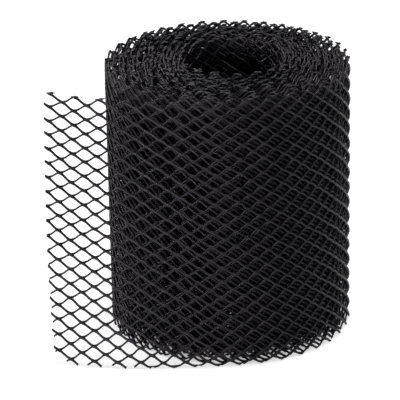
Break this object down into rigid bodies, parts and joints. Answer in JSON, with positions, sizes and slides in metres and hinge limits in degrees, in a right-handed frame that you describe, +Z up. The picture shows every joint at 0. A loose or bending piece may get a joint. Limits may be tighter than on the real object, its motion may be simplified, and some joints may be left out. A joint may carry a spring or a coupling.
{
  "type": "gutter guard mesh roll",
  "caption": "Roll of black plastic diamond mesh standing on its cut edge, wound round an open core, with its outer end sprung free; unrolled, it keeps leaves out of a gutter.",
  "frame": {"origin": "on the roll's axis, at the cut edge that it stands on", "axes": "+Z up the roll's axis, +X to the right seen from the front, front at -Y, where the free end leaves"},
  "size_m": [0.1797, 0.1468, 0.165],
  "materials": {
    "black_plastic": "satin charcoal black"
  },
  "bodies": {
    "root": {"mesh_roll": "black_plastic"}
  },
  "joints": []
}
